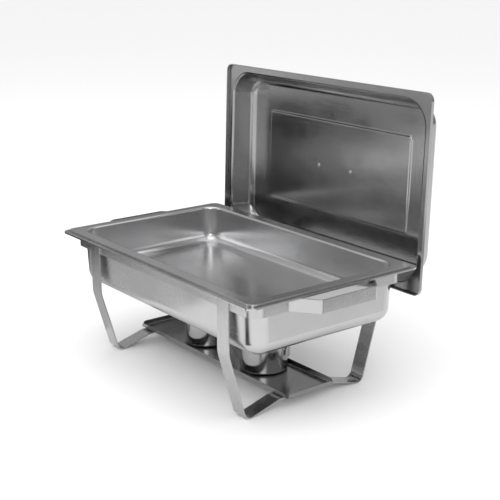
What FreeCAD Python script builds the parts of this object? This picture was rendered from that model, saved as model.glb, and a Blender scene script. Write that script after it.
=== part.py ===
import FreeCAD, Part
import math
import os
import re

import Sketcher

# A full-size chafing dish: a food pan nested in a water pan, carried by a strip-steel stand,
# with its lid parked upright in two hooks at the back and two fuel cups on a tray below.
# Millimetres. +X runs along the dish, +Y to the back, +Z up, and Z = 0 is the table.

SIZES = {
    # overall places
    "dish_back_shift": -47.2,       # the dish's own centre stands this far forward of the origin
    "rim_height": 208.0,            # top of the water pan's rim above the table
    "seat_gap": 0.3,                # play between pieces that rest on each other
    "pan_sheet": 0.8,               # sheet of the pans, the lid and the tray
    # water pan
    "water_rim_length": 543.0,
    "water_rim_width": 342.0,
    "water_rim_corner": 14.0,
    "water_mouth_length": 500.0,
    "water_mouth_width": 292.0,
    "water_mouth_corner": 30.0,
    "water_depth": 92.0,
    "water_draft": 2.5,
    "water_bottom_round": 24.0,
    "water_lip": 2.6,
    "mouth_round": 4.0,
    "trim_margin": 2.0,             # how far a trimming cut or a drill runs past the metal
    # food pan, a gastronorm 1/1 pan
    "food_rim_length": 530.0,
    "food_rim_width": 325.0,
    "food_rim_corner": 12.0,
    "food_mouth_length": 492.0,
    "food_mouth_width": 284.0,
    "food_mouth_corner": 26.0,
    "food_depth": 65.0,
    "food_draft": 5.0,
    "food_bottom_round": 16.0,
    "food_lip": 3.0,
    # lid
    "lid_length": 525.0,
    "lid_width": 327.0,
    "lid_corner": 13.0,
    "lid_mouth_length": 494.0,
    "lid_mouth_width": 299.0,
    "lid_mouth_corner": 45.0,
    "lid_depth": 43.0,
    "lid_draft": 16.0,
    "lid_crown_round": 13.0,
    "lid_lip": 5.0,
    "lid_hem": 2.4,
    "lid_lean": 1.7,                # degrees past upright, while parked
    "lid_centre_height": 315.15,
    "lid_centre_back": 190.85,      # flange plane behind the dish's centre, at mid height
    "panel_length": 366.0,
    "panel_width": 166.0,
    "panel_press": 2.8,
    "panel_corner": 7.0,
    "panel_draft": 48.0,
    "panel_round": 3.0,
    # lid handle and its rivets
    "rivet_spacing": 83.0,
    "rivet_shank": 4.6,
    "rivet_hole": 4.8,
    "rivet_head": 8.0,
    "rivet_tail": 7.0,
    "rivet_head_height": 1.6,
    "rivet_dome": 1.4,
    "lid_handle_length": 114.0,
    "lid_handle_splay": 4.0,        # how far each side of the handle leans out on its way up
    "lid_handle_foot_gap": 60.0,
    "lid_handle_height": 34.0,
    "lid_handle_strip": 22.0,
    # stand: a ring of strip with a handle bent out of it at each end, and two bent leg frames
    "strip_sheet": 2.0,
    "strip_bend": 5.0,              # radius of the strip's middle at a handle bend
    "band_height": 21.0,
    "band_length": 512.0,
    "band_width": 304.0,
    "band_corner": 22.0,
    "grip_length": 110.0,
    "grip_base": 170.0,
    "grip_reach": 38.0,
    "leg_strip": 28.0,
    "leg_spacing": 370.0,
    "kink_height": 112.0,
    "kink_round": 45.0,
    "foot_half_width": 120.0,
    "foot_round": 13.0,
    "ramp_half_width": 55.0,
    "ramp_round": 20.0,
    "tray_rest_height": 17.5,
    # hooks that hold the parked lid by its lower edge
    "hook_strip": 20.0,
    "hook_bend": 3.0,
    "hook_top": 182.0,
    "hook_shelf_height": 160.0,
    "hook_front": 177.5,
    "hook_back": 191.5,
    "hook_seat_height": 151.4,
    "hook_back_height": 162.5,
    # burner tray
    "tray_length": 414.0,
    "tray_width": 92.0,
    "tray_bend": 2.5,
    "tray_flare": 1.5,
    "tray_edge_height": 9.0,
    "tray_edge_corner": 8.0,
    # fuel cups
    "cup_spacing": 160.0,
    "cup_side_shift": 3.0,
    "cup_back_shift": 5.5,
    "cup_sheet": 0.6,
    "cup_radius": 40.0,
    "cup_height": 48.0,
    "cup_round": 4.0,
    "cover_radius": 41.2,
    "cover_skirt": 10.0,
    "cover_hole_radius": 23.0,
    "cover_round": 2.0,
    "damper_radius": 27.0,
    "damper_sheet": 1.0,
    "damper_ear_radius": 5.0,
    "damper_ear_bend": 4.9,         # a hair short of a full half circle
    "damper_pivot": 33.0,           # pivot pin from the cup's axis
    "damper_reach": 45.0,           # the tab's outer face from the cup's axis
    "damper_tab_width": 11.0,
    "damper_tab_drop": 24.0,
    "damper_angle": 32.0,           # heading of the tab from +X
    "pin_radius": 1.5,
    "pin_head_radius": 3.2,
    "pin_head_height": 1.2,
    "pin_dome": 1.1,
    "pin_play": 0.1,
}
# The pan's turned-down lip rests on the stand, so that the grips pass under it.
STAND_TOP = "rim_height - water_lip - seat_gap"
ALIAS = re.compile(r"\b(" + "|".join(SIZES) + r")\b")

doc = FreeCAD.newDocument("ChafingDish")
sheet = doc.addObject("Spreadsheet::Sheet", "Sizes")
for row, (alias, value) in enumerate(SIZES.items(), start=1):
    sheet.set(f"A{row}", alias)
    sheet.set(f"B{row}", str(value))
    sheet.setAlias(f"B{row}", alias)
doc.recompute()


def bound(expression):
    """Put the sheet's name before each alias, so that the expression works on any object."""
    return ALIAS.sub(r"Sizes.\1", expression)


def number(expression):
    """The value that an expression of the sheet's aliases has now."""
    return float(sheet.evalExpression(bound(expression)))


def new_body(name):
    body = doc.addObject("PartDesign::Body", name)
    body.Label = name
    return body


def new_sketch(body, name, role, offset=None):
    """A sketch on one of the body's own origin planes, raised from it by an expression."""
    sketch = body.newObject("Sketcher::SketchObject", name)
    origin_plane = next(item for item in body.Origin.OriginFeatures if item.Role == role)
    sketch.AttachmentSupport = (origin_plane, [""])
    sketch.MapMode = "FlatFace"
    if offset:
        sketch.setExpression("AttachmentOffset.Base.z", bound(offset))
    return sketch


def constrain(sketch, expression, kind, *geometry):
    """Add one dimension and bind it to the sheet."""
    index = sketch.addConstraint(Sketcher.Constraint(kind, *geometry, number(expression)))
    sketch.setExpression(f"Constraints[{index}]", bound(expression))


FOOT_GUESS = -0.3   # a foot's sharp corner starts this part of its bend's height below zero


def corner_height(y):
    """Where a corner starts off, before the sketch is solved."""
    if isinstance(y, str):
        return number(y)
    return number(y[1]) * FOOT_GUESS


def draw_path(sketch, corners, closed):
    """Straight runs joined by tangent bends.

    A corner is (x, y, bend), three expressions. bend is None at a sharp corner or an open end.
    Where y is ("centre", height), it is the bend's centre that has that height, not the corner.
    """
    places = [FreeCAD.Vector(number(x), corner_height(y), 0) for x, y, bend in corners]
    count = len(corners)
    runs = count if closed else count - 1
    directions = [(places[(i + 1) % count] - places[i]).normalize() for i in range(runs)]
    starts = [FreeCAD.Vector(places[i]) for i in range(runs)]
    ends = [FreeCAD.Vector(places[(i + 1) % count]) for i in range(runs)]
    bends = {}
    for i, (x, y, bend) in enumerate(corners):
        if bend is None:
            continue
        before = directions[(i - 1) % count]
        after = directions[i]
        turn = math.atan2(before.cross(after).z, before.dot(after))
        radius = number(bend)
        trim = radius * math.tan(abs(turn) / 2)
        side = math.copysign(1, turn)
        ends[(i - 1) % count] = places[i] - before * trim
        starts[i] = places[i] + after * trim
        centre = ends[(i - 1) % count] + FreeCAD.Vector(-before.y, before.x, 0) * side * radius
        bends[i] = (centre, radius, side)
    lines = [sketch.addGeometry(Part.LineSegment(a, b), False) for a, b in zip(starts, ends)]
    for i, (x, y, bend) in enumerate(corners):
        before = lines[(i - 1) % count] if closed or i > 0 else None
        after = lines[i] if i < runs else None
        if bend is None:
            if before is not None and after is not None:
                sketch.addConstraint(Sketcher.Constraint("Coincident", before, 2, after, 1))
            vertex = (after, 1) if after is not None else (before, 2)
        else:
            centre, radius, side = bends[i]
            first, last = ends[(i - 1) % count], starts[i]
            if side < 0:
                first, last = last, first
            circle = Part.Circle(centre, FreeCAD.Vector(0, 0, 1), radius)
            turn_from = math.atan2(first.y - centre.y, first.x - centre.x)
            turn_to = math.atan2(last.y - centre.y, last.x - centre.x)
            arc = sketch.addGeometry(Part.ArcOfCircle(circle, turn_from, turn_to), False)
            near, far = (1, 2) if side > 0 else (2, 1)
            sketch.addConstraint(Sketcher.Constraint("Tangent", before, 2, arc, near))
            sketch.addConstraint(Sketcher.Constraint("Tangent", arc, far, after, 1))
            constrain(sketch, bend, "Radius", arc)
            corner = sketch.addGeometry(Part.Point(places[i]), True)
            sketch.addConstraint(Sketcher.Constraint("PointOnObject", corner, 1, before))
            sketch.addConstraint(Sketcher.Constraint("PointOnObject", corner, 1, after))
            vertex = (corner, 1)
        constrain(sketch, x, "DistanceX", -1, 1, *vertex)
        if isinstance(y, str):
            constrain(sketch, y, "DistanceY", -1, 1, *vertex)
        else:
            constrain(sketch, y[1], "DistanceY", -1, 1, arc, 3)


def draw_rounded_rectangle(sketch, length, width, corner):
    """A rectangle about the sketch's origin with rounded corners."""
    corners = [(f"{x} * ({length}) / 2", f"{y} * ({width}) / 2", corner)
               for x, y in ((1, -1), (1, 1), (-1, 1), (-1, -1))]
    draw_path(sketch, corners, closed=True)


def extrude(body, kind, name, sketch, length, reverse=False, draft=None):
    """A Pad or a Pocket of a sketch, by a bound length."""
    feature = body.newObject(f"PartDesign::{kind}", name)
    feature.Profile = sketch
    feature.setExpression("Length", bound(length))
    feature.Reversed = reverse
    if draft:
        feature.setExpression("TaperAngle", bound(draft))
    doc.recompute()
    return feature


def round_edges(body, name, base, radius, chosen):
    """Fillet every edge of base that the test chosen(edge) picks."""
    names = [f"Edge{i}" for i, edge in enumerate(base.Shape.Edges, start=1) if chosen(edge)]
    fillet = body.newObject("PartDesign::Fillet", name)
    fillet.Base = (base, names)
    fillet.setExpression("Radius", bound(radius))
    doc.recompute()
    return fillet


TOUCH = 0.01        # lengths and heights that differ by less than this are the same


def level(height):
    """A test for edges that lie in the plane Z = height."""
    def chosen(edge):
        box = edge.BoundBox
        return abs(box.ZMin - height) < TOUCH and abs(box.ZMax - height) < TOUCH
    return chosen


SLAB = "2"          # depth of the spare rim slab that the sheet is drawn over, then trimmed off
RIM_MARGIN = 5      # the mouth's edges lie at least this far inside the rim
PANEL_MARGIN = 1    # the panel's edges lie no further than this outside its own rectangle


def drawn_shell(name, rim, mouth, depth, draft, bottom_round, press=None):
    """A deep-drawn sheet vessel that opens up, with the top of its flat rim at Z = 0.

    The space inside is made as a solid, the sheet is laid round it, and what stands above the
    rim is trimmed off. rim and mouth are (length, width, corner). press is the (length, width,
    corner, depth) of a panel pressed into the bottom.
    """
    body = new_body(name)
    mouth_sketch = new_sketch(body, "MouthSketch", "XY_Plane")
    draw_rounded_rectangle(mouth_sketch, *mouth)
    space = extrude(body, "Pad", "Space", mouth_sketch, depth, reverse=True, draft=draft)
    rim_length, rim_width, rim_corner = rim
    slab_sketch = new_sketch(body, "SlabSketch", "XY_Plane")
    draw_rounded_rectangle(slab_sketch, f"{rim_length} - 2 * pan_sheet",
                           f"{rim_width} - 2 * pan_sheet", f"{rim_corner} - pan_sheet")
    space = extrude(body, "Pad", "Slab", slab_sketch, SLAB)
    space = round_edges(body, "BottomRound", space, bottom_round, level(-number(depth)))
    space = round_edges(body, "MouthRound", space, "mouth_round", mouth_edges(rim))
    if press:
        space = press_panel(body, space, depth, *press)
    shell = body.newObject("PartDesign::Thickness", "Sheet")
    top = next(i for i, face in enumerate(space.Shape.Faces, start=1)
               if face.CenterOfMass.z > number(SLAB) - TOUCH)
    shell.Base = (space, [f"Face{top}"])
    shell.setExpression("Value", bound("pan_sheet"))
    shell.Reversed = False
    doc.recompute()
    trim_sketch = new_sketch(body, "TrimSketch", "XY_Plane")
    draw_rounded_rectangle(trim_sketch, f"{rim_length} + 2 * trim_margin",
                           f"{rim_width} + 2 * trim_margin", f"{rim_corner} + trim_margin")
    extrude(body, "Pocket", "Trim", trim_sketch, f"{SLAB} + trim_margin", reverse=True)
    return body


def add_lip(body, name, rim, offset, thickness, height, reverse):
    """A wall round the rim's outer edge, grown down when reverse is true."""
    rim_length, rim_width, rim_corner = rim
    sketch = new_sketch(body, name + "Sketch", "XY_Plane", offset)
    draw_rounded_rectangle(sketch, *rim)
    draw_rounded_rectangle(sketch, f"{rim_length} - 2 * ({thickness})",
                           f"{rim_width} - 2 * ({thickness})", f"{rim_corner} - ({thickness})")
    extrude(body, "Pad", name, sketch, height, reverse=reverse)


def press_panel(body, space, depth, length, width, corner, press):
    """Press a sloping, rounded panel into the vessel's bottom."""
    sketch = new_sketch(body, "PanelSketch", "XY_Plane", f"-({depth})")
    draw_rounded_rectangle(sketch, length, width, corner)
    panel = extrude(body, "Pocket", "Panel", sketch, press, reverse=True, draft="-panel_draft")
    bottom = -number(depth)
    foot = round_edges(body, "PanelFoot", panel, "panel_round", panel_edges(length, width, bottom))
    top = bottom + number(press)
    return round_edges(body, "PanelTop", foot, "panel_round", panel_edges(length, width, top))


def panel_edges(length, width, height):
    """A test for a pressed panel's edges at one height."""
    half_length = number(length) / 2 + PANEL_MARGIN
    half_width = number(width) / 2 + PANEL_MARGIN

    def chosen(edge):
        box = edge.BoundBox
        inside = max(abs(box.XMin), abs(box.XMax)) < half_length
        return level(height)(edge) and inside and max(abs(box.YMin), abs(box.YMax)) < half_width
    return chosen


def mouth_edges(rim):
    """A test for the edges where the walls meet the underside of the slab."""
    half_length = number(rim[0]) / 2 - RIM_MARGIN
    half_width = number(rim[1]) / 2 - RIM_MARGIN

    def chosen(edge):
        box = edge.BoundBox
        inside = max(abs(box.XMin), abs(box.XMax)) < half_length
        return level(0)(edge) and inside and max(abs(box.YMin), abs(box.YMax)) < half_width
    return chosen


def draw_rectangle(sketch, centre_x, centre_y, across, along):
    """A rectangle about any centre."""
    corners = [(f"{centre_x} + {x} * ({across}) / 2", f"{centre_y} + {y} * ({along}) / 2", None)
               for x, y in ((1, -1), (1, 1), (-1, 1), (-1, -1))]
    draw_path(sketch, corners, closed=True)


def add_strip(body, name, path_plane, path_offset, corners, closed, section_plane, section_offset, section):
    """Sweep a rectangular section along a bent path. section is (x, y, across, along)."""
    path = new_sketch(body, name + "Path", path_plane, path_offset)
    draw_path(path, corners, closed)
    profile = new_sketch(body, name + "Section", section_plane, section_offset)
    draw_rectangle(profile, *section)
    doc.recompute()
    pipe = body.newObject("PartDesign::AdditivePipe", name)
    pipe.Profile = profile
    pipe.Spine = path
    doc.recompute()
    return pipe


def mirrored_corners(corners):
    """The corners, then the same in reverse with the first coordinate's sign turned."""
    return corners + [(f"-({x})", y, bend) for x, y, bend in reversed(corners)]


def drill(body, name, plane, offset, places, radius, depth, reverse=False):
    """Round holes at places (x, y) of an origin plane."""
    sketch = new_sketch(body, name + "Sketch", plane, offset)
    for x, y in places:
        centre = FreeCAD.Vector(number(x), number(y), 0)
        circle = sketch.addGeometry(Part.Circle(centre, FreeCAD.Vector(0, 0, 1), number(radius)), False)
        constrain(sketch, x, "DistanceX", -1, 1, circle, 3)
        constrain(sketch, y, "DistanceY", -1, 1, circle, 3)
        constrain(sketch, radius, "Radius", circle)
    return extrude(body, "Pocket", name, sketch, depth, reverse=reverse)


def revolve(body, name, corners):
    """Turn a closed outline of the XZ plane about the Z axis."""
    sketch = new_sketch(body, name + "Sketch", "XZ_Plane")
    draw_path(sketch, corners, closed=True)
    feature = body.newObject("PartDesign::Revolution", name)
    feature.Profile = sketch
    feature.ReferenceAxis = (sketch, ["V_Axis"])
    feature.Angle = 360
    doc.recompute()
    return feature


def make_frame_band():
    """The ring of strip under the pan's rim, its handles bent out of the two short sides."""
    body = new_body("frame_band")
    half_length = "(band_length - strip_sheet) / 2"
    half_width = "(band_width - strip_sheet) / 2"
    corner = "band_corner - strip_sheet / 2"
    right = [
        (half_length, f"-({half_width})", corner),
        (half_length, "-grip_base / 2", "strip_bend"),
        (f"{half_length} + grip_reach", "-grip_length / 2", "strip_bend"),
        (f"{half_length} + grip_reach", "grip_length / 2", "strip_bend"),
        (half_length, "grip_base / 2", "strip_bend"),
        (half_length, half_width, corner),
    ]
    left = [(f"-({x})", y, bend) for x, y, bend in reversed(right)]
    start = [("0", f"-({half_width})", None)]
    middle = f"{STAND_TOP} - band_height / 2"
    section = (f"-({half_width})", middle, "strip_sheet", "band_height")
    add_strip(body, "Ring", "XY_Plane", middle, start + right + left, True, "YZ_Plane", None, section)
    return body


def make_leg_frame(name):
    """Both legs of one end and the bar between their feet, bent from one flat strip."""
    body = new_body(name)
    outside = "-(band_width / 2 + strip_sheet / 2)"
    middle = "tray_rest_height - strip_sheet / 2"
    front = [
        (outside, STAND_TOP, None),
        (outside, "kink_height", "kink_round"),
        ("-foot_half_width", ("centre", "foot_round + strip_sheet / 2"), "foot_round"),
        ("-ramp_half_width", middle, "ramp_round"),
    ]
    section = ("0", outside, "leg_strip", "strip_sheet")
    add_strip(body, "Strip", "YZ_Plane", None, mirrored_corners(front), False,
              "XY_Plane", STAND_TOP, section)
    return body


def make_lid_hook(name):
    """A bent strip on the back of a rear leg, which takes the parked lid's lower edge."""
    body = new_body(name)
    start = "band_width / 2 + 1.5 * strip_sheet"
    seat = "hook_seat_height - strip_sheet / 2"
    corners = [
        (start, "hook_top", None),
        (start, "hook_shelf_height", "hook_bend"),
        ("hook_front", "hook_shelf_height", "hook_bend"),
        ("hook_front", seat, "hook_bend"),
        ("hook_back", seat, "hook_bend"),
        ("hook_back", "hook_back_height", None),
    ]
    section = ("0", start, "hook_strip", "strip_sheet")
    add_strip(body, "Strip", "YZ_Plane", None, corners, False, "XY_Plane", "hook_top", section)
    return body


def make_water_pan():
    rim = ("water_rim_length", "water_rim_width", "water_rim_corner")
    mouth = ("water_mouth_length", "water_mouth_width", "water_mouth_corner")
    body = drawn_shell("water_pan", rim, mouth, "water_depth - pan_sheet", "-water_draft",
                       "water_bottom_round")
    add_lip(body, "Lip", rim, None, "pan_sheet", "water_lip", reverse=True)
    return body


def make_food_pan():
    rim = ("food_rim_length", "food_rim_width", "food_rim_corner")
    mouth = ("food_mouth_length", "food_mouth_width", "food_mouth_corner")
    body = drawn_shell("food_pan", rim, mouth, "food_depth - pan_sheet", "-food_draft",
                       "food_bottom_round")
    add_lip(body, "Lip", rim, None, "pan_sheet", "food_lip", reverse=True)
    return body


LID_OUTSIDE = "panel_press - lid_depth - pan_sheet"     # the pressed panel's outer face


def make_lid_shell():
    """The lid, opening up: its lip stands above the rim, towards the pan that it covers."""
    rim = ("lid_length", "lid_width", "lid_corner")
    mouth = ("lid_mouth_length", "lid_mouth_width", "lid_mouth_corner")
    press = ("panel_length", "panel_width", "panel_corner", "panel_press")
    body = drawn_shell("lid_shell", rim, mouth, "lid_depth", "-lid_draft", "lid_crown_round", press)
    add_lip(body, "Lip", rim, None, "pan_sheet", "lid_lip", reverse=False)
    add_lip(body, "Hem", rim, "lid_lip - lid_hem", "2 * pan_sheet", "lid_hem", reverse=False)
    places = [("-rivet_spacing / 2", "0"), ("rivet_spacing / 2", "0")]
    drill(body, "RivetHoles", "XY_Plane", f"{LID_OUTSIDE} + pan_sheet + trim_margin", places,
          "rivet_hole / 2", "pan_sheet + 2 * trim_margin")
    return body


def make_lid_handle():
    """A grip of bent strip, its two feet turned in under it and riveted to the lid."""
    body = new_body("lid_handle")
    foot = f"{LID_OUTSIDE} - strip_sheet / 2"
    grip = f"{LID_OUTSIDE} - lid_handle_height + strip_sheet / 2"
    left = [
        ("-lid_handle_foot_gap / 2", foot, None),
        ("-(lid_handle_length / 2 - lid_handle_splay)", foot, "strip_bend"),
        ("-lid_handle_length / 2", grip, "2 * strip_bend"),
    ]
    corners = mirrored_corners(left)
    section = ("0", foot, "lid_handle_strip", "strip_sheet")
    add_strip(body, "Strip", "XZ_Plane", None, corners, False,
              "YZ_Plane", "-lid_handle_foot_gap / 2", section)
    places = [("-rivet_spacing / 2", "0"), ("rivet_spacing / 2", "0")]
    drill(body, "RivetHoles", "XY_Plane", f"{LID_OUTSIDE} + trim_margin", places,
          "rivet_hole / 2", "strip_sheet + 2 * trim_margin")
    return body


def make_lid_handle_rivet(name):
    """A rivet with a domed head inside the lid and a smaller one on the handle's foot."""
    body = new_body(name)
    inside = f"{LID_OUTSIDE} + pan_sheet"
    back = f"{LID_OUTSIDE} - strip_sheet"
    revolve(body, "Rivet", [
        ("0", f"{inside} + rivet_head_height", None),
        ("rivet_head / 2", f"{inside} + rivet_head_height", "rivet_dome"),
        ("rivet_head / 2", inside, None),
        ("rivet_shank / 2", inside, None),
        ("rivet_shank / 2", back, None),
        ("rivet_tail / 2", back, None),
        ("rivet_tail / 2", f"{back} - rivet_head_height", "rivet_dome"),
        ("0", f"{back} - rivet_head_height", None),
    ])
    return body


def make_burner_tray():
    """A shallow tray: a flat floor and four flared edges that leave its corners open."""
    body = new_body("burner_tray")
    floor_sketch = new_sketch(body, "FloorSketch", "XY_Plane")
    draw_rectangle(floor_sketch, "0", "0", "tray_length", "tray_width")
    extrude(body, "Pad", "Floor", floor_sketch, "pan_sheet")
    middle = "pan_sheet / 2"
    edges = (
        ("Long", "YZ_Plane", "tray_width / 2", "XZ_Plane", "tray_length"),
        ("Short", "XZ_Plane", "tray_length / 2", "YZ_Plane", "tray_width"),
    )
    for name, path_plane, reach, section_plane, width in edges:
        for side, sign in (("A", "-1"), ("B", "1")):
            corners = [
                (f"{sign} * ({reach})", middle, None),
                (f"{sign} * ({reach} + tray_bend)", middle, "tray_bend"),
                (f"{sign} * ({reach} + tray_bend + tray_flare)", "tray_edge_height", None),
            ]
            facing = -1 if section_plane == "XZ_Plane" else 1
            section = ("0", middle, width, "pan_sheet")
            add_strip(body, name + side, path_plane, None, corners, False,
                      section_plane, f"{facing} * {sign} * {reach}", section)
    rounding_floor = number("tray_edge_height") - number("pan_sheet")

    def edge_ends(edge):
        thin = edge.Length < number("pan_sheet") + TOUCH
        return thin and edge.BoundBox.ZMin > rounding_floor

    round_edges(body, "EdgeCorners", body.Tip, "tray_edge_corner", edge_ends)
    return body


def make_fuel_cup(name):
    """A spun cup that holds one can of fuel."""
    body = new_body(name)
    revolve(body, "Wall", [
        ("0", "0", None),
        ("cup_radius", "0", "cup_round"),
        ("cup_radius", "cup_height", None),
        ("cup_radius - cup_sheet", "cup_height", None),
        ("cup_radius - cup_sheet", "cup_sheet", "cup_round - cup_sheet"),
        ("0", "cup_sheet", None),
    ])
    return body


COVER_TOP = "cup_height + seat_gap + cup_sheet"
PIN_PLACE = [("-damper_pivot", "0")]


def make_cup_cover(name):
    """The cup's cap, open in the middle for the flame."""
    body = new_body(name)
    revolve(body, "Cap", [
        ("cover_hole_radius", COVER_TOP, None),
        ("cover_radius", COVER_TOP, "cover_round"),
        ("cover_radius", f"{COVER_TOP} - cover_skirt", None),
        ("cover_radius - cup_sheet", f"{COVER_TOP} - cover_skirt", None),
        ("cover_radius - cup_sheet", f"{COVER_TOP} - cup_sheet", "cover_round - cup_sheet"),
        ("cover_hole_radius", f"{COVER_TOP} - cup_sheet", None),
    ])
    drill(body, "PinHole", "XY_Plane", f"{COVER_TOP} + trim_margin", PIN_PLACE, "pin_radius",
          "cup_sheet + 2 * trim_margin")
    return body


def make_damper(name):
    """The snuffer: a disc over the cap's hole, with an ear for its pivot and a bent-down tab."""
    body = new_body(name)
    underside = f"{COVER_TOP} + seat_gap"
    middle = f"{underside} + damper_sheet / 2"
    disc_sketch = new_sketch(body, "DiscSketch", "XY_Plane", underside)
    disc = Part.Circle(FreeCAD.Vector(0, 0, 0), FreeCAD.Vector(0, 0, 1), number("damper_radius"))
    circle = disc_sketch.addGeometry(disc)
    disc_sketch.addConstraint(Sketcher.Constraint("Coincident", circle, 3, -1, 1))
    constrain(disc_sketch, "damper_radius", "Radius", circle)
    extrude(body, "Pad", "Disc", disc_sketch, "damper_sheet")
    ear_sketch = new_sketch(body, "EarSketch", "XY_Plane", underside)
    ear_end = "-(damper_pivot + damper_ear_radius)"
    draw_path(ear_sketch, [
        (ear_end, "-damper_ear_radius", "damper_ear_bend"),
        ("-damper_radius / 2", "-damper_ear_radius", None),
        ("-damper_radius / 2", "damper_ear_radius", None),
        (ear_end, "damper_ear_radius", "damper_ear_bend"),
    ], closed=True)
    extrude(body, "Pad", "Ear", ear_sketch, "damper_sheet")
    reach = "damper_reach - damper_sheet / 2"
    corners = [
        ("damper_radius / 2", middle, None),
        (reach, middle, "2 * damper_sheet"),
        (reach, f"{middle} - damper_tab_drop", None),
    ]
    section = ("0", middle, "damper_tab_width", "damper_sheet")
    add_strip(body, "Tab", "XZ_Plane", None, corners, False, "YZ_Plane", "damper_radius / 2", section)
    drill(body, "PinHole", "XY_Plane", f"{underside} + damper_sheet + trim_margin", PIN_PLACE,
          "pin_radius + pin_play", "damper_sheet + 2 * trim_margin")
    return body


def make_damper_pin(name):
    """The rivet that the damper turns on, headed under the cap and over the damper's ear."""
    body = new_body(name)
    low = f"{COVER_TOP} - cup_sheet"
    high = f"{COVER_TOP} + 2 * seat_gap + damper_sheet"
    revolve(body, "Pin", [
        ("0", f"{low} - pin_head_height", None),
        ("pin_head_radius", f"{low} - pin_head_height", None),
        ("pin_head_radius", low, None),
        ("pin_radius", low, None),
        ("pin_radius", high, None),
        ("pin_head_radius", high, None),
        ("pin_head_radius", f"{high} + pin_head_height", "pin_dome"),
        ("0", f"{high} + pin_head_height", None),
    ])
    return body


def place(body, x, y, z, turn=None, axis=None):
    """Stand a finished body in the dish, by expressions, turned about an axis in degrees."""
    if turn:
        body.Placement.Rotation = FreeCAD.Rotation(axis, number(turn))
    body.setExpression("Placement.Base.x", bound(x))
    body.setExpression("Placement.Base.y", bound(f"dish_back_shift + ({y})"))
    body.setExpression("Placement.Base.z", bound(z))
    if turn:
        body.setExpression("Placement.Rotation.Angle", bound(turn))
    return body


def build_all():
    place(make_frame_band(), "0", "0", "0")
    place(make_water_pan(), "0", "0", "rim_height")
    food_top = "rim_height + seat_gap + food_lip"
    place(make_food_pan(), "0", "0", food_top)
    for side, sign in (("left", "-1"), ("right", "1")):
        place(make_leg_frame(f"leg_frame_{side}"), f"{sign} * leg_spacing / 2", "0", "0")
        place(make_lid_hook(f"lid_hook_{side}"), f"{sign} * leg_spacing / 2", "0", "0")
    lid_pieces = (
        (make_lid_shell(), "0"),
        (make_lid_handle(), "0"),
        (make_lid_handle_rivet("lid_handle_rivet_left"), "-rivet_spacing / 2"),
        (make_lid_handle_rivet("lid_handle_rivet_right"), "rivet_spacing / 2"),
    )
    for body, x in lid_pieces:
        place(body, x, "lid_centre_back", "lid_centre_height", "90 - lid_lean", FreeCAD.Vector(1, 0, 0))
    tray_floor = "tray_rest_height + seat_gap"
    place(make_burner_tray(), "0", "0", tray_floor)
    cup_floor = f"{tray_floor} + pan_sheet + seat_gap"
    for side, sign in (("left", "-1"), ("right", "1")):
        x = f"cup_side_shift + {sign} * cup_spacing / 2"
        place(make_fuel_cup(f"fuel_cup_{side}"), x, "cup_back_shift", cup_floor)
        for body in (make_cup_cover(f"cup_cover_{side}"), make_damper(f"damper_{side}")):
            place(body, x, "cup_back_shift", cup_floor, "damper_angle", FreeCAD.Vector(0, 0, 1))
        pin_x = f"{x} - damper_pivot * cos(damper_angle * 1deg)"
        pin_y = "cup_back_shift - damper_pivot * sin(damper_angle * 1deg)"
        place(make_damper_pin(f"damper_pin_{side}"), pin_x, pin_y, cup_floor)
    doc.recompute()


def check_and_write():
    """Stop on any failed object or bad shape, then write one file for each body."""
    for item in doc.Objects:
        bad = {"Invalid", "Error"} & set(item.State)
        if bad:
            raise RuntimeError(f"{item.Name} is {bad}")
        if item.TypeId == "Sketcher::SketchObject" and not item.FullyConstrained:
            raise RuntimeError(f"{item.Name} is not fully constrained")
    bodies = [item for item in doc.Objects if item.TypeId == "PartDesign::Body"]
    for body in bodies:
        if body.Shape.isNull() or not body.Shape.isValid():
            raise RuntimeError(f"{body.Label} has a bad shape")
    os.makedirs("parts", exist_ok=True)
    for body in bodies:
        box = body.Shape.BoundBox
        print(f"{body.Label:20s} {len(body.Shape.Solids)} solid(s) {body.Shape.Volume / 1000:9.2f} cm3  "
              f"X {box.XMin:7.1f} {box.XMax:7.1f}  Y {box.YMin:7.1f} {box.YMax:7.1f}  "
              f"Z {box.ZMin:6.1f} {box.ZMax:6.1f}")
        body.Shape.exportStep(f"parts/{body.Label}.step")


build_all()
check_and_write()
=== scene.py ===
import math

import bpy
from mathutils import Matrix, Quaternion, Vector

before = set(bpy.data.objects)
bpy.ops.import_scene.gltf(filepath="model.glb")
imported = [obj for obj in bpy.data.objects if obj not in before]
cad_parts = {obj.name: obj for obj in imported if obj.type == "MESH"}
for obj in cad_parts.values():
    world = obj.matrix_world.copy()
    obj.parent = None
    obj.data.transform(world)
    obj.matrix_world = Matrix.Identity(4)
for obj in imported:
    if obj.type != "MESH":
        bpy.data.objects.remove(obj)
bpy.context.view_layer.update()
scene = bpy.context.scene


def linked(name, data):
    """A new object in the scene that holds a mesh, a light or a camera."""
    thing = bpy.data.objects.new(name, data)
    scene.collection.objects.link(thing)
    return thing


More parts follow.
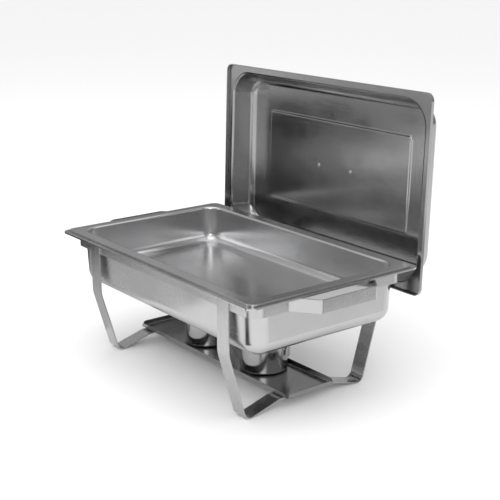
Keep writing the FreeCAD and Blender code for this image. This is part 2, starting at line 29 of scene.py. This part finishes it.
class Nodes:
    """A short way to lay out a node tree."""

    def __init__(self, tree):
        self.tree = tree

    def connect(self, node, inputs):
        """Links the sockets among the inputs to the node, and sets the plain values on it."""
        for key, value in inputs.items():
            if isinstance(value, bpy.types.NodeSocket):
                self.tree.links.new(value, node.inputs[key])
            else:
                node.inputs[key].default_value = value

    def add(self, kind, inputs, **settings):
        node = self.tree.nodes.new(kind)
        for key, value in settings.items():
            setattr(node, key, value)
        self.connect(node, inputs)
        return node

    def noise(self, place, scale, detail, roughness):
        inputs = {"Vector": place, "Scale": scale, "Detail": detail, "Roughness": roughness}
        return self.add("ShaderNodeTexNoise", inputs).outputs["Fac"]

    def stretched_noise(self, place, scales, detail, roughness):
        mapping = self.add("ShaderNodeMapping", {"Vector": place, "Scale": scales})
        return self.noise(mapping.outputs["Vector"], 1.0, detail, roughness)

    def remap(self, value, source, target):
        """The value with the source range stretched over the target range, and held within it."""
        inputs = {"Value": value, "From Min": source[0], "From Max": source[1],
                  "To Min": target[0], "To Max": target[1]}
        return self.add("ShaderNodeMapRange", inputs).outputs["Result"]

    def math(self, operation, a, b):
        return self.add("ShaderNodeMath", {0: a, 1: b}, operation=operation).outputs[0]

    def bump(self, height, strength, depth, normal):
        inputs = {"Height": height, "Strength": strength, "Distance": depth, "Normal": normal}
        return self.add("ShaderNodeBump", inputs).outputs["Normal"]

    def mix_color(self, factor, a, b):
        """A blend of two colours. The Mix node repeats its sockets for each type, so they go by number."""
        inputs = {0: factor, 6: a, 7: b}
        return self.add("ShaderNodeMix", inputs, data_type="RGBA").outputs[2]


def new_material(name):
    """A material, its node tree, its surface shader and its output."""
    material = bpy.data.materials.new(name)
    material.use_nodes = True
    nodes = Nodes(material.node_tree)
    shader = next(n for n in material.node_tree.nodes if n.type == "BSDF_PRINCIPLED")
    output = next(n for n in material.node_tree.nodes if n.type == "OUTPUT_MATERIAL")
    return material, nodes, shader, output


# Stainless steel. Its grain is a noise drawn out along one axis of the part, with coarser streaks
# between the lines. Smudges, dull patches and small spots change its gloss, and its flat faces
# are very slightly wavy, as drawn sheet is.
GRAIN_ACROSS = 2600.0       # grain lines to a metre, across them and along them
GRAIN_ALONG = 22.0
STREAK_SHARE = 0.12         # streaks are this much sparser than the lines
PATCHES = 9.0               # to a metre, as are spots and waves
SPOTS = 70.0
WAVES = 14.0
EDGE_ROUND = 0.0005         # metres, as are the depths
GRAIN_DEPTH = 0.0002
WAVE_DEPTH = 0.002
WAVE_STRENGTH = 0.10
STREAK_RELIEF = 0.3         # height of the streaks beside that of the lines
STREAK_GLOSS = 0.12         # how far streaks change the roughness, as a share of grain
SPOT_GLOSS = 0.5            # and spots, as a share of smudge
LINE_RANGE = (0.3, 0.7)     # the part of each noise's values that shows
STREAK_RANGE = (0.35, 0.65)
DARK_STREAK_RANGE = (0.45, 0.75)
PATCH_RANGE = (0.35, 0.65)
PATCH_TONE_RANGE = (0.3, 0.7)
SPOT_RANGE = (0.5, 0.8)
DARK_PATCH = 0.95           # brightness of patches and streaks beside the plain steel
LIGHT_PATCH = 1.04
DARK_STREAK = 0.94
STREAK_TONE = 0.25          # the most that a streak's tone covers


def shaded(tint, share):
    """The tint made darker or lighter, as an opaque colour."""
    return [min(1.0, value * share) for value in tint] + [1.0]


def steel(name, tint, roughness, grain_axis, grain=0.10, bump=0.06, smudge=0.05, anisotropy=0.35):
    """Brushed steel. grain and smudge say how far they change the roughness."""
    material, nodes, shader, _ = new_material(name)
    place = nodes.add("ShaderNodeTexCoord", {}).outputs["Object"]
    line_scales = [GRAIN_ACROSS] * 3
    line_scales["XYZ".index(grain_axis)] = GRAIN_ALONG
    streak_scales = [value * STREAK_SHARE for value in line_scales]
    lines = nodes.stretched_noise(place, line_scales, detail=2.0, roughness=0.6)
    streaks = nodes.stretched_noise(place, streak_scales, detail=3.0, roughness=0.55)
    patches = nodes.noise(place, PATCHES, detail=4.0, roughness=0.55)
    spots = nodes.noise(place, SPOTS, detail=3.0, roughness=0.6)
    waves = nodes.noise(place, WAVES, detail=2.0, roughness=0.4)

    streak_gloss = grain * STREAK_GLOSS
    changes = (
        nodes.remap(streaks, STREAK_RANGE, (-streak_gloss, streak_gloss)),
        nodes.remap(patches, PATCH_RANGE, (-smudge, smudge)),
        nodes.remap(spots, SPOT_RANGE, (0.0, smudge * SPOT_GLOSS)),
    )
    rough = nodes.remap(lines, LINE_RANGE, (roughness - grain / 2, roughness + grain / 2))
    for change in changes:
        rough = nodes.math("ADD", rough, change)

    patch_mix = nodes.remap(patches, PATCH_TONE_RANGE, (0.0, 1.0))
    color = nodes.mix_color(patch_mix, shaded(tint, DARK_PATCH), shaded(tint, LIGHT_PATCH))
    streak_mix = nodes.remap(streaks, DARK_STREAK_RANGE, (0.0, STREAK_TONE))
    color = nodes.mix_color(streak_mix, color, shaded(tint, DARK_STREAK))

    edges = nodes.add("ShaderNodeBevel", {"Radius": EDGE_ROUND}, samples=4)
    relief = nodes.math("ADD", lines, nodes.math("MULTIPLY", streaks, STREAK_RELIEF))
    grained = nodes.bump(relief, bump, GRAIN_DEPTH, edges.outputs["Normal"])
    wavy = nodes.bump(waves, WAVE_STRENGTH, WAVE_DEPTH, grained)

    nodes.connect(shader, {
        "Base Color": color,
        "Metallic": 1.0,
        "Roughness": rough,
        "Anisotropic": anisotropy,
        "Normal": wavy,
    })
    return material


# Name, tint, roughness and the axis that the grain runs along.
STEELS = {
    "strip_along_x": steel("strip_along_x", (0.50, 0.50, 0.505), 0.25, "X"),
    "strip_along_z": steel("strip_along_z", (0.48, 0.48, 0.485), 0.25, "Z"),
    "pan_outside": steel("pan_outside", (0.52, 0.52, 0.525), 0.22, "Z", grain=0.08),
    "pan_inside": steel("pan_inside", (0.60, 0.60, 0.605), 0.22, "X", grain=0.06, smudge=0.02),
    "lid": steel("lid", (0.40, 0.40, 0.402), 0.19, "X", grain=0.05, bump=0.03, smudge=0.03),
    "tray": steel("tray", (0.33, 0.33, 0.335), 0.14, "X", grain=0.05),
    "cup": steel("cup", (0.42, 0.42, 0.425), 0.13, "Z", grain=0.05, anisotropy=0.5),
    "rivet": steel("rivet", (0.60, 0.60, 0.605), 0.18, "Y", grain=0.04),
}

FINISHES = {
    "frame_band": "strip_along_x",
    "leg_frame_left": "strip_along_z",
    "leg_frame_right": "strip_along_z",
    "lid_hook_left": "strip_along_z",
    "lid_hook_right": "strip_along_z",
    "water_pan": "pan_outside",
    "food_pan": "pan_inside",
    "lid_shell": "lid",
    "lid_handle": "strip_along_x",
    "lid_handle_rivet_left": "rivet",
    "lid_handle_rivet_right": "rivet",
    "burner_tray": "tray",
    "fuel_cup_left": "cup",
    "fuel_cup_right": "cup",
    "cup_cover_left": "cup",
    "cup_cover_right": "cup",
    "damper_left": "cup",
    "damper_right": "cup",
    "damper_pin_left": "rivet",
    "damper_pin_right": "rivet",
}

for node_name, finish in FINISHES.items():
    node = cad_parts[node_name]
    node.data.materials.clear()
    node.data.materials.append(STEELS[finish])

# The studio: a pale floor under soft light from above and from both sides of the camera. Only the
# steel's gloss sees the cards, glowing black and grey sheets that paint dark and grey reflections into it.
FLOOR_SIZE = 60.0
FLOOR_CARD_HEIGHT = 0.004
DISH = (0.0, -0.05, 0.2)
UP = Vector((0, 0, 1))


def plane(name, width, depth):
    """A flat rectangle about its own origin."""
    mesh = bpy.data.meshes.new(name)
    corners = [(x * width / 2, y * depth / 2, 0) for x, y in ((-1, -1), (1, -1), (1, 1), (-1, 1))]
    mesh.from_pydata(corners, [], [(0, 1, 2, 3)])
    return linked(name, mesh)


floor = plane("floor", FLOOR_SIZE, FLOOR_SIZE)
floor_material, floor_nodes, floor_shader, _ = new_material("pale_floor")
floor_nodes.connect(floor_shader, {
    "Base Color": (0.94, 0.94, 0.94, 1),
    "Roughness": 0.7,
    "Specular IOR Level": 0.1,
})
floor.data.materials.append(floor_material)


def facing(place, towards, axis):
    """The turn that points one of an object's own axes from its place towards a point."""
    aim = Vector(towards) - Vector(place)
    return aim.to_track_quat(axis, "Y")


def card(name, place, turn, width, height, brightness):
    """An even glowing card that only the steel's gloss sees: a painted reflection, not a lamp."""
    board = plane(name, width, height)
    board.location = place
    board.rotation_mode = "QUATERNION"
    board.rotation_quaternion = turn
    material, nodes, _, output = new_material(name)
    color = (brightness, brightness, brightness, 1)
    glow = nodes.add("ShaderNodeEmission", {"Color": color, "Strength": 1.0})
    nodes.connect(output, {"Surface": glow.outputs[0]})
    board.data.materials.append(material)
    board.visible_camera = False
    board.visible_shadow = False
    board.visible_diffuse = False


def floor_card(name, x, y, width, depth, degrees, brightness):
    """A card that lies on the floor, turned about the vertical."""
    turn = Quaternion(UP, math.radians(degrees))
    card(name, (x, y, FLOOR_CARD_HEIGHT), turn, width, depth, brightness)


def upright_card(name, place, towards, width, height, brightness):
    """A card that stands up and faces a point."""
    card(name, place, facing(place, towards, "Z"), width, height, brightness)


# Each card, flag or shade, is a painted reflection of a dark or grey thing, seen only in the steel's
# gloss.
# Cards on the floor: name, place, width, depth, degrees of turn and brightness.
floor_card("flag_left", -1.58, -0.06, 2.0, 2.2, 0, 0.0)
floor_card("flag_front", 0.09, -0.74, 0.17, 0.8, -16, 0.0)
floor_card("flag_front_right", 1.45, -1.05, 0.6, 1.3, 53, 0.0)
floor_card("shade_front", -0.475, -0.48, 0.47, 0.76, 0, 0.66)
floor_card("shade_lid", -0.92, -1.33, 0.6, 0.5, 0, 0.40)
floor_card("shade_right", 1.10, 0.45, 0.80, 0.90, 0, 0.42)
floor_card("shade_right_near", 0.56, 0.28, 0.28, 0.60, 0, 0.97)
# Upright cards: name, place, the point that they face, width, height and brightness.
upright_card("flag_wall", (-1.97, -0.65, 0.0), (0.0, 0.0, 0.0), 2.2, 0.44, 0.0)
upright_card("flag_wall_right", (-1.75, -2.2, 0.0), (0.0, 0.1, 0.0), 1.4, 0.4, 0.30)
upright_card("flag_left_back", (-1.22, 0.67, 0.33), DISH, 0.9, 0.4, 0.12)


def lamp(name, place, side, power):
    """A soft square light aimed at the dish, in metres and watts."""
    data = bpy.data.lights.new(name, "AREA")
    data.shape = "SQUARE"
    data.size = side
    data.energy = power
    light = linked(name, data)
    light.location = place
    light.rotation_mode = "QUATERNION"
    light.rotation_quaternion = facing(place, DISH, "-Z")


lamp("overhead", (0.2, -0.3, 2.6), side=3.2, power=30)
lamp("front_right", (2.2, -1.9, 1.5), side=1.4, power=14)
lamp("front_left", (-1.4, -2.4, 1.3), side=1.2, power=6)

# The backdrop is white, but the gloss sees a room that is dark at the horizon and lighter above.
# A stop is a height, from straight down at 0 to straight up at 1, and its grey.
ROOM_STOPS = ((0.50, 0.30), (0.95, 0.66))
WHITE = (1, 1, 1, 1)
world = bpy.data.worlds.new("studio")
scene.world = world
world.use_nodes = True
sky = Nodes(world.node_tree)
world.node_tree.nodes.clear()
direction = sky.add("ShaderNodeTexCoord", {}).outputs["Generated"]
height = sky.add("ShaderNodeSeparateXYZ", {"Vector": direction}).outputs["Z"]
ramp = sky.add("ShaderNodeValToRGB", {"Fac": sky.remap(height, (-1.0, 1.0), (0.0, 1.0))})
for stop, (position, grey) in zip(ramp.color_ramp.elements, ROOM_STOPS):
    stop.position = position
    stop.color = (grey, grey, grey, 1)
room = sky.add("ShaderNodeBackground", {"Color": ramp.outputs["Color"], "Strength": 1.0})
backdrop = sky.add("ShaderNodeBackground", {"Color": WHITE, "Strength": 1.0})
mirrored = sky.add("ShaderNodeLightPath", {}).outputs["Is Glossy Ray"]
both = sky.add("ShaderNodeMixShader", {0: mirrored, 1: backdrop.outputs[0], 2: room.outputs[0]})
sky.add("ShaderNodeOutputWorld", {"Surface": both.outputs[0]})
scene.view_settings.view_transform = "Standard"

# The camera looks down a little on the dish, from its front right.
CAMERA_PLACE = Vector((1.393, -1.0902, 0.707))
CAMERA_AZIMUTH = math.radians(52.10)
CAMERA_ELEVATION = math.radians(16.128)
camera_data = bpy.data.cameras.new("camera")
camera_data.lens = 77.63
camera_data.sensor_width = 36.0
camera_data.clip_start = 0.05
camera_data.clip_end = 50.0
camera = linked("camera", camera_data)
back = Vector((math.sin(CAMERA_AZIMUTH) * math.cos(CAMERA_ELEVATION),
               -math.cos(CAMERA_AZIMUTH) * math.cos(CAMERA_ELEVATION),
               math.sin(CAMERA_ELEVATION)))
camera.location = CAMERA_PLACE
camera.rotation_mode = "QUATERNION"
camera.rotation_quaternion = (-back).to_track_quat("-Z", "Y")
scene.camera = camera
